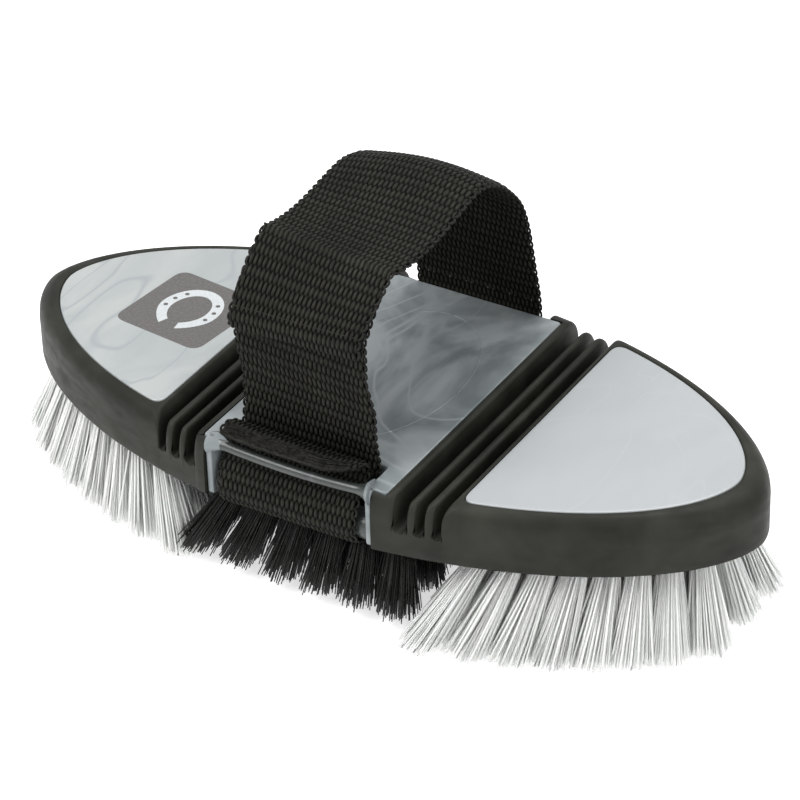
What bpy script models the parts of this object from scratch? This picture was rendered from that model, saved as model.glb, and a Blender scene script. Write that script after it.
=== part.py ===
"""Flexible oval grooming brush with a webbing hand strap.

Three stiff plastic sections stand side by side along X, joined by two ribbed
rubber bellows, and a webbing strap arches over the middle section. The brush
stands on its white bristle tips at z = 0. +X is along its length, +Z is up,
and the strap is opened at the -Y side.
"""

import math

import bmesh
import bpy
from mathutils import Matrix, Vector

MM = 0.001

# Heights above the bristle tips
PLATE_TOP = 40.0 * MM
RUBBER_LOW = 23.6 * MM
CORE_LOW = 24.6 * MM
BLACK_TIPS = 3.2 * MM
GAP = 0.3 * MM

# Ovals as (half length, half width, power along X, power along Y)
PLATE_OVAL = (97.8 * MM, 43.84 * MM, 2.22, 1.72)
OUTER_OVAL = (104.8 * MM, 49.3 * MM, 1.95, 1.72)

# Wings
WING_START = 43.3 * MM
PLATE_CORNER = 4.0 * MM
PLATE_THICKNESS = 2.6 * MM
CORE_LEDGE = 1.2 * MM
RIM_START = 40.7 * MM
RIM_CORNER = 0.6 * MM
OUTLINE_ARC_STEPS = 30
OUTLINE_SIDE_STEPS = 3
# Rim section from plate edge (0) to outer oval (1), with the drop below the plate top
RIM_TOP = [(0.12, 0.0), (0.45, 0.4 * MM), (0.76, 1.7 * MM), (0.94, 3.6 * MM), (1.0, 6.0 * MM)]

# Centre section
CENTRE_HALF_LENGTH = 26.4 * MM
CENTRE_HALF_WIDTH = 42.0 * MM
LIP_HALF_WIDTH = 45.3 * MM
LIP_THICKNESS = 3.5 * MM
REAR_EDGE = 41.3 * MM
REAR_CHEEK_TOP = [(41.3 * MM, 38.4 * MM), (47.0 * MM, 33.9 * MM)]
BAY_HALF_LENGTH = 20.9 * MM
BAY_EDGE = 35.5 * MM
CHEEK_THICKNESS = 1.6 * MM
CHEEK_HALF_WIDTH = 47.0 * MM
CHEEK_LOW = 23.8 * MM
KEEPER_RADIUS = 1.25 * MM
KEEPER_HEIGHT = 38.4 * MM
REAR_KEEPER_HEIGHT = 35.4 * MM
KEEPER_END_WIDTH = 44.8 * MM
KEEPER_BOW = 1.5 * MM
ANCHOR_RADIUS = 3.8 * MM
ANCHOR_WIDTH = 42.2 * MM
ANCHOR_HEIGHT = 26.4 * MM

# Bellows
BELLOWS_START = CENTRE_HALF_LENGTH + GAP
BELLOWS_END = RIM_START - GAP
TONGUE_START = BAY_HALF_LENGTH + CHEEK_THICKNESS + GAP
SHOULDER_DEPTH = 7.0 * MM
FRONT_SHOULDER = 3.0 * MM
REAR_SHOULDER = 6.0 * MM
GROOVE_BOTTOM = 30.1 * MM
GROOVE_WIDTH = 2.4 * MM
GROOVE_PITCH = 4.7 * MM
GROOVE_FIRST = 30.2 * MM
GROOVE_COUNT = 3
WEB_RECESS = 3.0 * MM
HINGE_OFFSET = 35.0 * MM
HINGE_HEIGHT = 27.0 * MM

# Bristle tufts
TUFT_PITCH = 9.3 * MM
TUFT_RADIUS = 2.25 * MM
TUFT_DEPTH = 6.7 * MM
TUFT_SIDES = 6
TUFT_LEAN = 5.4 * MM
TUFT_OVERLAP = 0.7 * MM
HOLE_CLEARANCE = GAP
WING_ROWS = 8
WING_ROW_FIRST = 47.6 * MM
WING_ROW_STEP = 7.55 * MM
WING_ROW_TAPER = 0.17 * MM
WING_TUFT_INSET = 4.6 * MM
WING_LEAN_INNER = -6.6 * MM
WING_LEAN_OUTER = 4.8 * MM
CENTRE_ROWS = 6
CENTRE_ROW_STEP = 8.8 * MM
CENTRE_ROW_FAN = 0.12
TUFT_REACH = 31.2 * MM
ROW_CLEARANCE = 0.25 * MM

# Webbing strap, as (y, z) points along the middle of its thickness
STRAP_HALF_WIDTH = 20.0 * MM
WEBBING = 1.3 * MM
STRAP_ARCH = [
    (-40.3, 73.8), (-40.0, 76.4), (-38.0, 79.6), (-35.2, 83.0), (-32.0, 86.4), (-28.8, 89.2),
    (-25.6, 89.8), (-19.0, 88.8), (-11.5, 88.5), (-3.8, 89.1), (3.8, 90.0), (11.0, 90.5),
    (17.0, 89.3), (23.0, 86.6), (28.6, 82.3), (33.2, 76.8), (36.4, 69.0), (38.4, 60.6),
    (40.2, 52.4), (41.6, 46.4), (42.2, 42.3),
]
STRAP_REAR = [(42.3, 41.5), (42.2, 38.0), (42.1, 35.0), (43.4, 32.3), (45.6, 30.0)]
STRAP_REAR_END = [(37.6, 28.6), (38.3, 31.2), (39.5, 33.6), (40.4, 35.2)]
TAB_FRONT = [
    (-37.3, 28.4), (-36.9, 34.0), (-36.8, 42.0), (-36.9, 52.0), (-36.9, 62.0), (-36.7, 70.0),
]
TAB_TAIL = [
    (-46.6, 29.4), (-45.5, 32.2), (-43.3, 35.2), (-41.0, 38.4), (-40.1, 41.0), (-40.8, 42.8),
    (-42.7, 43.4), (-45.0, 43.0), (-46.9, 42.0),
]
LOOP_RADIUS = ANCHOR_RADIUS + GAP + WEBBING / 2
HEM_LENGTH = 6.5 * MM
HEM_GAP = WEBBING + GAP
PATCH_THICKNESS = 0.5 * MM
PATCH_HALF_WIDTH = 18.0 * MM
STRAP_PATCH_OFFSET = WEBBING / 2 + GAP + PATCH_THICKNESS / 2
TAB_PATCH_OFFSET = STRAP_PATCH_OFFSET + PATCH_THICKNESS + GAP
TAB_OFFSET = TAB_PATCH_OFFSET + PATCH_THICKNESS / 2 + GAP + WEBBING / 2
TAB_OVERLAP = (2.5 * MM, 17.0 * MM)
PATCH_OVERLAP = (7.5 * MM, 16.0 * MM)
PATH_STEP = 3.2 * MM


def clear_scene():
    for item in list(bpy.data.objects):
        bpy.data.objects.remove(item, do_unlink=True)


def make_material(name, colour, roughness, metallic=0.0):
    material = bpy.data.materials.new(name)
    material.use_nodes = True
    shader = material.node_tree.nodes["Principled BSDF"]
    shader.inputs["Base Color"].default_value = (*colour, 1.0)
    shader.inputs["Roughness"].default_value = roughness
    shader.inputs["Metallic"].default_value = metallic
    return material


def add_object(name, bm, material=None):
    bmesh.ops.recalc_face_normals(bm, faces=bm.faces)
    mesh = bpy.data.meshes.new(name)
    bm.to_mesh(mesh)
    bm.free()
    obj = bpy.data.objects.new(name, mesh)
    bpy.context.scene.collection.objects.link(obj)
    if material is not None:
        mesh.materials.append(material)
    return obj


def hide_tool(obj):
    obj.hide_render = True
    obj.display_type = "WIRE"


def combine(obj, tool, operation):
    hide_tool(tool)
    modifier = obj.modifiers.new(tool.name, "BOOLEAN")
    modifier.operation = operation
    modifier.solver = "EXACT"
    modifier.object = tool


def hang_on(obj, pivot):
    """Parent to an empty on the joint's axis without moving the object."""
    obj.parent = pivot
    obj.matrix_parent_inverse = Matrix.Translation(pivot.location).inverted()


def make_pivot(name, location):
    pivot = bpy.data.objects.new(name, None)
    pivot.location = location
    pivot.empty_display_size = 10 * MM
    bpy.context.scene.collection.objects.link(pivot)
    return pivot


def add_loft(bm, rings):
    """Closed solid through rings of equal point counts, capped at both ends."""
    loops = [[bm.verts.new(point) for point in ring] for ring in rings]
    for low, high in zip(loops, loops[1:]):
        for i in range(len(low)):
            j = (i + 1) % len(low)
            bm.faces.new((low[i], low[j], high[j], high[i]))
    bm.faces.new(loops[0][::-1])
    bm.faces.new(loops[-1])


def add_box(bm, low, high):
    corners = [(low[0], low[1]), (high[0], low[1]), (high[0], high[1]), (low[0], high[1])]
    add_loft(bm, [[(x, y, z) for x, y in corners] for z in (low[2], high[2])])


def box_object(name, low, high):
    bm = bmesh.new()
    add_box(bm, low, high)
    return add_object(name, bm)


def oval_half_width(oval, x):
    length, width, power_x, power_y = oval
    return width * (1 - (abs(x) / length) ** power_x) ** (1 / power_y)


def grown(oval, margin):
    return (oval[0] + margin, oval[1] + margin, oval[2], oval[3])


def wing_outline(oval, start_x, corner):
    """Closed outline of the oval beyond start_x, its two corners rounded."""
    length, width, power_x, power_y = oval
    first = math.acos((start_x / length) ** (power_x / 2))
    curve = []
    for i in range(1, OUTLINE_ARC_STEPS):
        angle = first * (2 * i / OUTLINE_ARC_STEPS - 1)
        x = length * math.cos(angle) ** (2 / power_x)
        y = math.copysign(width * abs(math.sin(angle)) ** (2 / power_y), angle)
        curve.append((x, y))
    half = oval_half_width(oval, start_x)
    points = []
    for side in (-1, 1):
        tip = Vector((start_x, side * half))
        toward_curve = (Vector(curve[0] if side < 0 else curve[-1]) - tip).normalized()
        ends = [tip + Vector((0, -side * corner)), tip + toward_curve * corner]
        if side > 0:
            ends.reverse()
        for k in range(5):
            t = k / 4
            points.append(ends[0] * (1 - t) ** 2 + tip * 2 * t * (1 - t) + ends[1] * t * t)
        if side < 0:
            points.extend(Vector(p) for p in curve)
    first_y, last_y = points[-1].y, points[0].y
    for k in range(1, OUTLINE_SIDE_STEPS):
        points.append(Vector((start_x, first_y + (last_y - first_y) * k / OUTLINE_SIDE_STEPS)))
    return [(p.x, p.y) for p in points]


def mirrored(outline, side):
    return [(side * x, y) for x, y in outline]


def smooth_path(points, step=PATH_STEP):
    """Points every step or so along a smooth curve through the given points."""
    points = [Vector(p) for p in points]
    padded = [2 * points[0] - points[1]] + points + [2 * points[-1] - points[-2]]
    path = []
    for i in range(1, len(padded) - 2):
        before, start, end, after = padded[i - 1:i + 3]
        count = max(1, round((end - start).length / step))
        for k in range(count):
            t = k / count
            path.append(0.5 * (2 * start + (end - before) * t
                               + (2 * before - 5 * start + 4 * end - after) * t * t
                               + (3 * start - before - 3 * end + after) * t ** 3))
    path.append(points[-1])
    return path


def path_normals(path):
    """Left-hand normals, lengthened at corners so that offsets keep their distance."""
    normals = []
    for i, point in enumerate(path):
        directions = []
        if i > 0:
            directions.append((point - path[i - 1]).normalized())
        if i < len(path) - 1:
            directions.append((path[i + 1] - point).normalized())
        sides = [Vector((-d.y, d.x)) for d in directions]
        mean = sum(sides, Vector((0, 0))).normalized()
        normals.append(mean / mean.dot(sides[0]))
    return normals


def offset_path(path, distance):
    return [p + n * distance for p, n in zip(path, path_normals(path))]


def path_part(path, start, end):
    """The stretch of a path between two lengths along it."""
    part, travelled = [], 0.0
    for a, b in zip(path, path[1:]):
        span = (b - a).length
        for mark in (start, end):
            if travelled <= mark < travelled + span:
                part.append(a + (b - a) * (mark - travelled) / span)
        travelled += span
        if start < travelled < end - 0.2 * MM:
            part.append(b)
    return part


def arc_path(centre, radius, start_deg, end_deg, steps):
    path = []
    for k in range(steps + 1):
        angle = math.radians(start_deg + (end_deg - start_deg) * k / steps)
        path.append(Vector((centre[0] + radius * math.cos(angle),
                            centre[1] + radius * math.sin(angle))))
    return path


def ribbon(name, path, thickness, half_width, material):
    """Flat band across X along a (y, z) path."""
    rings = []
    for point, normal in zip(path, path_normals(path)):
        a = point + normal * thickness / 2
        b = point - normal * thickness / 2
        rings.append([(-half_width, a.x, a.y), (half_width, a.x, a.y),
                      (half_width, b.x, b.y), (-half_width, b.x, b.y)])
    bm = bmesh.new()
    add_loft(bm, rings)
    return add_object(name, bm, material)


def in_metres(points):
    return [Vector((y * MM, z * MM)) for y, z in points]


def wing_row_x(row):
    return WING_ROW_FIRST + WING_ROW_STEP * row - WING_ROW_TAPER * row * row


def wing_rows():
    """Each row's (x, tip x, root y values), on the +X wing."""
    last = wing_row_x(WING_ROWS - 1)
    rows = []
    for row in range(WING_ROWS):
        x = wing_row_x(row)
        share = (x - WING_ROW_FIRST) / (last - WING_ROW_FIRST)
        lean = WING_LEAN_INNER + (WING_LEAN_OUTER - WING_LEAN_INNER) * share
        rows.append((x, x + lean, row_roots(oval_half_width(PLATE_OVAL, x) - WING_TUFT_INSET)))
    return rows


def centre_rows():
    rows = []
    for row in range(CENTRE_ROWS):
        x = (row - (CENTRE_ROWS - 1) / 2) * CENTRE_ROW_STEP
        rows.append((x, x * (1 + CENTRE_ROW_FAN), row_roots(TUFT_REACH)))
    return rows


def tip_halves(rows):
    """Half the room each row's tips have along X, up to the nearer neighbour."""
    tips = [tip_x for _, tip_x, _ in rows]
    steps = [b - a for a, b in zip(tips, tips[1:])]
    return [min(steps[max(0, k - 1):k + 1]) / 2 - ROW_CLEARANCE for k in range(len(rows))]


def row_roots(reach):
    count = max(2, round(2 * reach / TUFT_PITCH) + 1)
    return [reach * (2 * k / (count - 1) - 1) for k in range(count)]


def tuft_ring(centre, radius_x, radius_y):
    ring = []
    for k in range(TUFT_SIDES):
        angle = 2 * math.pi * k / TUFT_SIDES
        ring.append((centre[0] + radius_x * math.cos(angle),
                     centre[1] + radius_y * math.sin(angle), centre[2]))
    return ring


def tuft_row(name, row, tip_z, tip_half, material):
    """One row of splayed tufts whose bristles cross at their ends."""
    x, tip_x, roots = row
    lean = TUFT_LEAN / TUFT_REACH
    tip_pitch = (roots[1] - roots[0]) * (1 + lean)
    tip_half_y = (tip_pitch / 2 + TUFT_OVERLAP) / math.cos(math.pi / TUFT_SIDES)
    meshes = [bmesh.new(), bmesh.new()]
    for k, y in enumerate(roots):
        rings = [
            tuft_ring((tip_x, y * (1 + lean), tip_z), tip_half, tip_half_y),
            tuft_ring((x, y, CORE_LOW), TUFT_RADIUS, TUFT_RADIUS),
            tuft_ring((x, y, CORE_LOW + TUFT_DEPTH), TUFT_RADIUS, TUFT_RADIUS),
        ]
        add_loft(meshes[k % 2], rings)
    obj = add_object(name, meshes[0], material)
    combine(obj, add_object(name + "_others", meshes[1]), "UNION")
    return obj


def drill_tuft_holes(obj, rows):
    bm = bmesh.new()
    radius = TUFT_RADIUS + HOLE_CLEARANCE / math.cos(math.pi / TUFT_SIDES)
    for x, _, roots in rows:
        for y in roots:
            add_loft(bm, [tuft_ring((x, y, z), radius, radius)
                          for z in (CORE_LOW - 5 * MM, CORE_LOW + TUFT_DEPTH + GAP)])
    combine(obj, add_object(obj.name + "_holes", bm), "DIFFERENCE")


def wing_core(name, side, material):
    """Stiff plate with a wider base under the rubber rim's lip."""
    plate = mirrored(wing_outline(PLATE_OVAL, WING_START, PLATE_CORNER), side)
    base = mirrored(wing_outline(grown(PLATE_OVAL, CORE_LEDGE), WING_START, PLATE_CORNER), side)
    ledge = PLATE_TOP - PLATE_THICKNESS
    levels = [(base, CORE_LOW), (base, ledge), (plate, ledge + CORE_LEDGE / 2), (plate, PLATE_TOP)]
    rings = [[(x, y, z) for x, y in outline] for outline, z in levels]
    bm = bmesh.new()
    add_loft(bm, rings)
    obj = add_object(name, bm, material)
    rows = [(side * x, side * tip_x, roots) for x, tip_x, roots in wing_rows()]
    drill_tuft_holes(obj, rows)
    return obj


def wing_rim(name, side, material):
    """Soft rubber ring around one wing, its lip over the core's base."""
    plate = wing_outline(grown(PLATE_OVAL, GAP), WING_START - GAP, PLATE_CORNER)
    base = wing_outline(grown(PLATE_OVAL, CORE_LEDGE + GAP), WING_START - GAP, PLATE_CORNER)
    outer = wing_outline(OUTER_OVAL, RIM_START, RIM_CORNER)
    ledge = PLATE_TOP - PLATE_THICKNESS + GAP
    levels = [(base, 0.0, RUBBER_LOW), (base, 0.0, ledge), (plate, 0.0, ledge + CORE_LEDGE / 2),
              (plate, 0.0, PLATE_TOP - GAP)]
    levels += [(plate, share, PLATE_TOP - drop) for share, drop in RIM_TOP]
    levels.append((plate, 1.0, RUBBER_LOW))
    bm = bmesh.new()
    loops = []
    for inner, share, z in levels:
        loops.append([bm.verts.new((side * (a[0] + (b[0] - a[0]) * share), a[1] + (b[1] - a[1]) * share, z))
                      for a, b in zip(inner, outer)])
    for low, high in zip(loops, loops[1:] + loops[:1]):
        for i in range(len(low)):
            j = (i + 1) % len(low)
            bm.faces.new((low[i], low[j], high[j], high[i]))
    return add_object(name, bm, material)


def bellows_section(x, side):
    """Cross-section of the bellows block at x, with rounded shoulders."""
    half = oval_half_width(OUTER_OVAL, x)
    points = [(-half, RUBBER_LOW)]
    for wall, reach in ((-1, FRONT_SHOULDER), (1, REAR_SHOULDER)):
        arc = []
        for k in range(5):
            angle = math.radians(90 * k / 4)
            arc.append((wall * (half - reach * (1 - math.cos(angle))),
                        PLATE_TOP - SHOULDER_DEPTH * (1 - math.sin(angle))))
        points += arc if wall < 0 else arc[::-1]
    points.append((half, RUBBER_LOW))
    return [(side * x, y, z) for y, z in points]


def bellows(name, side, material):
    """Ribbed rubber hinge between the centre and one wing."""
    stations = [TONGUE_START, BELLOWS_START, HINGE_OFFSET, BELLOWS_END]
    bm = bmesh.new()
    add_loft(bm, [bellows_section(x, side) for x in stations])
    obj = add_object(name, bm, material)

    wide, deep = 60 * MM, 10 * MM
    inner, far = sorted((side * (TONGUE_START - deep), side * BELLOWS_START))
    core = CENTRE_HALF_WIDTH + GAP
    lip = LIP_HALF_WIDTH + GAP
    rear = REAR_EDGE + GAP
    lip_low = PLATE_TOP - LIP_THICKNESS - GAP
    core_space = box_object(name + "_core_space", (inner, -core, 0), (far, rear, lip_low + deep))
    lip_space = box_object(name + "_lip_space", (inner, -lip, lip_low), (far, rear, PLATE_TOP + deep))
    combine(obj, core_space, "DIFFERENCE")
    combine(obj, lip_space, "DIFFERENCE")
    tool = bmesh.new()
    for k in range(GROOVE_COUNT):
        middle = side * (GROOVE_FIRST + GROOVE_PITCH * k)
        half = GROOVE_WIDTH / 2
        floor = GROOVE_BOTTOM + half / 6
        profile = [(-half, PLATE_TOP + deep), (-half, GROOVE_BOTTOM + half), (-half / 2, floor),
                   (half / 2, floor), (half, GROOVE_BOTTOM + half), (half, PLATE_TOP + deep)]
        add_loft(tool, [[(middle + x, y, z) for x, z in profile] for y in (-wide, wide)])
    combine(obj, add_object(name + "_grooves", tool), "DIFFERENCE")
    channel = sorted((side * (BELLOWS_START + 2.5 * MM), side * (BELLOWS_END - 2.5 * MM)))
    wall = CENTRE_HALF_WIDTH - 2 * MM
    recess = box_object(name + "_recess", (channel[0], -wall, 0),
                        (channel[1], wall, RUBBER_LOW + WEB_RECESS))
    combine(obj, recess, "DIFFERENCE")
    return obj


def keeper_bar(name, wall, height):
    """Bowed bar over the mouth of a strap bay."""
    reach = BAY_HALF_LENGTH + CHEEK_THICKNESS / 2
    rings = []
    for k in range(9):
        t = k / 4 - 1
        y = wall * (KEEPER_END_WIDTH + KEEPER_BOW * (1 - t * t))
        ring = []
        for s in range(8):
            angle = 2 * math.pi * s / 8
            ring.append((t * reach, y + KEEPER_RADIUS * math.cos(angle),
                         height + KEEPER_RADIUS * math.sin(angle)))
        rings.append(ring)
    bm = bmesh.new()
    add_loft(bm, rings)
    return add_object(name, bm)


def anchor_bar(name, wall):
    reach = BAY_HALF_LENGTH + CHEEK_THICKNESS / 2
    rings = []
    for x in (-reach, reach):
        ring = []
        for s in range(12):
            angle = 2 * math.pi * s / 12
            ring.append((x, wall * ANCHOR_WIDTH + ANCHOR_RADIUS * math.cos(angle),
                         ANCHOR_HEIGHT + ANCHOR_RADIUS * math.sin(angle)))
        rings.append(ring)
    bm = bmesh.new()
    add_loft(bm, rings)
    return add_object(name, bm)


def rear_cheeks(outer):
    """Block of the two rear cheeks, whose top slopes down behind the plate."""
    inner = REAR_EDGE - 3 * MM
    profile = [(inner, CHEEK_LOW), (CHEEK_HALF_WIDTH, CHEEK_LOW), REAR_CHEEK_TOP[1],
               REAR_CHEEK_TOP[0], (inner, REAR_CHEEK_TOP[0][1])]
    bm = bmesh.new()
    add_loft(bm, [[(x, y, z) for y, z in profile] for x in (-outer, outer)])
    return add_object("rear_cheeks", bm)


def centre_body(material):
    """Middle section: plate, base, four cheeks, and two bars in each strap bay."""
    bm = bmesh.new()
    add_box(bm, (-CENTRE_HALF_LENGTH, -CENTRE_HALF_WIDTH, CORE_LOW),
            (CENTRE_HALF_LENGTH, REAR_EDGE, PLATE_TOP))
    obj = add_object("centre_body", bm, material)
    lip_low = PLATE_TOP - LIP_THICKNESS
    outer_cheek = BAY_HALF_LENGTH + CHEEK_THICKNESS
    lip = box_object("centre_lip", (-CENTRE_HALF_LENGTH, -LIP_HALF_WIDTH, lip_low),
                     (CENTRE_HALF_LENGTH, -BAY_EDGE, PLATE_TOP))
    front_cheeks = box_object("front_cheeks", (-outer_cheek, -CHEEK_HALF_WIDTH, CHEEK_LOW),
                              (outer_cheek, -BAY_EDGE, PLATE_TOP - 0.4 * MM))
    combine(obj, lip, "UNION")
    combine(obj, front_cheeks, "UNION")
    combine(obj, rear_cheeks(outer_cheek), "UNION")
    front_bay = box_object("front_bay", (-BAY_HALF_LENGTH, -60 * MM, 10 * MM),
                           (BAY_HALF_LENGTH, -BAY_EDGE, 50 * MM))
    rear_bay = box_object("rear_bay", (-BAY_HALF_LENGTH, BAY_EDGE, 10 * MM),
                          (BAY_HALF_LENGTH, 60 * MM, lip_low))
    rear_slot = box_object("rear_slot", (-BAY_HALF_LENGTH, REAR_EDGE, lip_low - 5 * MM),
                           (BAY_HALF_LENGTH, 60 * MM, 50 * MM))
    for space in (front_bay, rear_bay, rear_slot):
        combine(obj, space, "DIFFERENCE")
    clear = box_object("base_level", (-BAY_HALF_LENGTH - 5 * MM, -CENTRE_HALF_WIDTH + 4 * MM, 10 * MM),
                       (BAY_HALF_LENGTH + 5 * MM, CENTRE_HALF_WIDTH - 4 * MM, CORE_LOW))
    combine(obj, clear, "DIFFERENCE")
    for wall, label, height in ((-1, "front", KEEPER_HEIGHT), (1, "rear", REAR_KEEPER_HEIGHT)):
        combine(obj, keeper_bar(label + "_keeper_bar", wall, height), "UNION")
        combine(obj, anchor_bar(label + "_anchor_bar", wall), "UNION")
    drill_tuft_holes(obj, centre_rows())
    return obj


def arch_path():
    return smooth_path(in_metres(STRAP_ARCH))


def strap_long(material):
    """Long strap from the rear keeper bar over the top to its hem at the front."""
    arch = arch_path()
    turn = arc_path((0, 0), HEM_GAP / 2, 0, 180, 4)
    down = (arch[0] - arch[1]).normalized()
    across = Vector((-down.y, down.x))
    middle = arch[0] + across * HEM_GAP / 2
    fold = [middle - across * p.x + down * p.y for p in turn]
    under = path_part(offset_path(arch, -HEM_GAP), 0.0, HEM_LENGTH)
    path = arch[::-1][:-1] + fold[:-1] + under
    return ribbon("strap_long", path, WEBBING, STRAP_HALF_WIDTH, material)


def strap_rear_loop(material):
    """Rear end of the long strap, sewn back on itself around the rear anchor bar."""
    centre = (ANCHOR_WIDTH, ANCHOR_HEIGHT)
    path = smooth_path(in_metres(STRAP_REAR))
    path += arc_path(centre, LOOP_RADIUS, 10, -170, 12)
    path += smooth_path(in_metres(STRAP_REAR_END))
    return ribbon("strap_rear_loop", path, WEBBING, STRAP_HALF_WIDTH, material)


def strap_tab(material):
    """Short front strap around the front anchor bar, with its cut end over the keeper bar."""
    arch = arch_path()
    upper = path_part(offset_path(arch, -TAB_OFFSET), *TAB_OVERLAP)
    front = smooth_path(in_metres(TAB_FRONT) + upper[:1])[:-1]
    centre = (-ANCHOR_WIDTH, ANCHOR_HEIGHT)
    loop = arc_path(centre, LOOP_RADIUS, 175, 365, 12)
    tail = smooth_path(in_metres(TAB_TAIL), 2 * MM)
    path = tail[::-1] + loop + front + upper
    return ribbon("strap_tab", path, WEBBING, STRAP_HALF_WIDTH, material)


def strap_patch(name, offset, material):
    """Hook or loop patch between the strap and the tab."""
    path = path_part(offset_path(arch_path(), -offset), *PATCH_OVERLAP)
    return ribbon(name, path, PATCH_THICKNESS, PATCH_HALF_WIDTH, material)


def build():
    clear_scene()
    silver = make_material("silver_plastic", (0.55, 0.59, 0.63), 0.32)
    rubber = make_material("black_rubber", (0.030, 0.030, 0.027), 0.55)
    webbing = make_material("black_webbing", (0.015, 0.015, 0.014), 0.85)
    fleece = make_material("hook_and_loop", (0.010, 0.010, 0.010), 0.95)
    white = make_material("white_bristle", (0.78, 0.83, 0.80), 0.40)
    black = make_material("black_bristle", (0.012, 0.012, 0.013), 0.40)

    centre_body(silver)
    for side, label in ((1, "right"), (-1, "left")):
        pivot = make_pivot(label + "_flex_axis", (side * HINGE_OFFSET, 0, HINGE_HEIGHT))
        moving = [wing_core(label + "_wing_core", side, silver), wing_rim(label + "_rim", side, rubber)]
        rows = wing_rows()
        for k, ((x, tip_x, roots), half) in enumerate(zip(rows, tip_halves(rows))):
            row = (side * x, side * tip_x, roots)
            moving.append(tuft_row(f"{label}_bristles_{k + 1}", row, 0.0, half, white))
        for obj in moving:
            hang_on(obj, pivot)
        bellows(label + "_bellows", side, rubber)
    rows = centre_rows()
    for k, (row, half) in enumerate(zip(rows, tip_halves(rows))):
        tuft_row(f"centre_bristles_{k + 1}", row, BLACK_TIPS, half, black)

    strap_tab(webbing)
    strap_rear_loop(webbing)
    strap_patch("tab_patch", TAB_PATCH_OFFSET, fleece)
    strap_pivot = make_pivot("strap_axis", (0, KEEPER_END_WIDTH, REAR_KEEPER_HEIGHT))
    hang_on(strap_long(webbing), strap_pivot)
    hang_on(strap_patch("strap_patch", STRAP_PATCH_OFFSET, fleece), strap_pivot)


build()
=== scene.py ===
"""Looks of the flexible oval grooming brush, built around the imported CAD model.

Lengths are in metres in the CAD's frame: X along the brush, Z up, bristle tips at z = 0.
"""

import math

import bmesh
import bpy
import numpy as np
from mathutils import Matrix, Vector


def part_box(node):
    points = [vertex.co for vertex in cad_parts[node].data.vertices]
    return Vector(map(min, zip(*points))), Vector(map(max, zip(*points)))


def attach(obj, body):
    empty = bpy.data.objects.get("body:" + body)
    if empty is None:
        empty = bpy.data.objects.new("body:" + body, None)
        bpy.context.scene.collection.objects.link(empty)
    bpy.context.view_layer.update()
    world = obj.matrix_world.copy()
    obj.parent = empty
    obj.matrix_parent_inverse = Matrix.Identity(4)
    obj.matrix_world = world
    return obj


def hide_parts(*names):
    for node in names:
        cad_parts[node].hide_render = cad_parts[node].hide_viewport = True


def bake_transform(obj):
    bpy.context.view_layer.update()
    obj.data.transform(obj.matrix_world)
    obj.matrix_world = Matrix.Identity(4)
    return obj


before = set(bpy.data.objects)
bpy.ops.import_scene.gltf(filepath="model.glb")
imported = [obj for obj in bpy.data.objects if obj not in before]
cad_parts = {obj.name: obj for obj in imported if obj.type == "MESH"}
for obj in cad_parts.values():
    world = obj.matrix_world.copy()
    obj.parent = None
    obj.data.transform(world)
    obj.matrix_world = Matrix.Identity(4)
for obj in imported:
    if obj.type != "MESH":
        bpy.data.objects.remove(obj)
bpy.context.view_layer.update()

MM = 0.001

# Heights and places from the frame
PLATE_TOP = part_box("right_wing_core")[1].z
CORE_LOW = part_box("right_wing_core")[0].z
RUBBER_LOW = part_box("right_rim")[0].z
WING_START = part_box("right_wing_core")[0].x
RIM_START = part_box("right_rim")[0].x
CENTRE_HALF_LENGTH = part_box("centre_body")[1].x
BRISTLE_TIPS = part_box("right_bristles_1")[0].z
BLACK_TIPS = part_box("centre_bristles_1")[0].z
STRAP_HALF_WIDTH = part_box("strap_long")[1].x

# Ovals as (half length, half width, power along X, power along Y), as in the CAD
PLATE_OVAL = (97.8 * MM, 43.84 * MM, 2.22, 1.72)
OUTER_OVAL = (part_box("right_rim")[1].x, 49.3 * MM, 1.95, 1.72)
GAP = 0.3 * MM

# Wings
PLATE_CORNER = 4 * MM
PLATE_THICKNESS = 2.6 * MM
PLATE_EDGE = 0.45 * MM
CORE_LEDGE = 1.2 * MM
RIM_CORNER = 0.6 * MM
RIM_LOW_EDGE = 0.9 * MM
RIM_TOP = [
    (0.0, 0.45), (0.05, 0.1), (0.12, 0.0), (0.45, 0.4), (0.76, 1.7), (0.94, 3.6), (1.0, 6.0), (1.0, 8.0),
]
ARC_STEPS = 110
SIDE_STEPS = 10

# Centre section
BASE_HALF_WIDTH = 42 * MM
LIP_HALF_WIDTH = 45.3 * MM
LIP_THICKNESS = 3.5 * MM
REAR_EDGE = 41.3 * MM
REAR_CHEEK_TOP = [(41.3 * MM, 38.4 * MM), (47 * MM, 33.9 * MM)]
BAY_HALF_LENGTH = 20.9 * MM
BAY_EDGE = 35.5 * MM
CHEEK_THICKNESS = 1.6 * MM
BAR_REACH = BAY_HALF_LENGTH + CHEEK_THICKNESS / 2
CHEEK_HALF_WIDTH = 47 * MM
CHEEK_LOW = 23.8 * MM
CHEEK_DROP = 0.4 * MM
KEEPER_RADIUS = 1.25 * MM
KEEPER_FLARE = 2.1 * MM
KEEPER_HEIGHT = 38.4 * MM
REAR_KEEPER_HEIGHT = 35.4 * MM
KEEPER_END_WIDTH = 44.8 * MM
KEEPER_BOW = 1.5 * MM
ANCHOR_RADIUS = 3.8 * MM
ANCHOR_WIDTH = 42.2 * MM
ANCHOR_HEIGHT = 26.4 * MM
OVAL_LINE = (19.3 * MM, 31 * MM)

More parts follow.
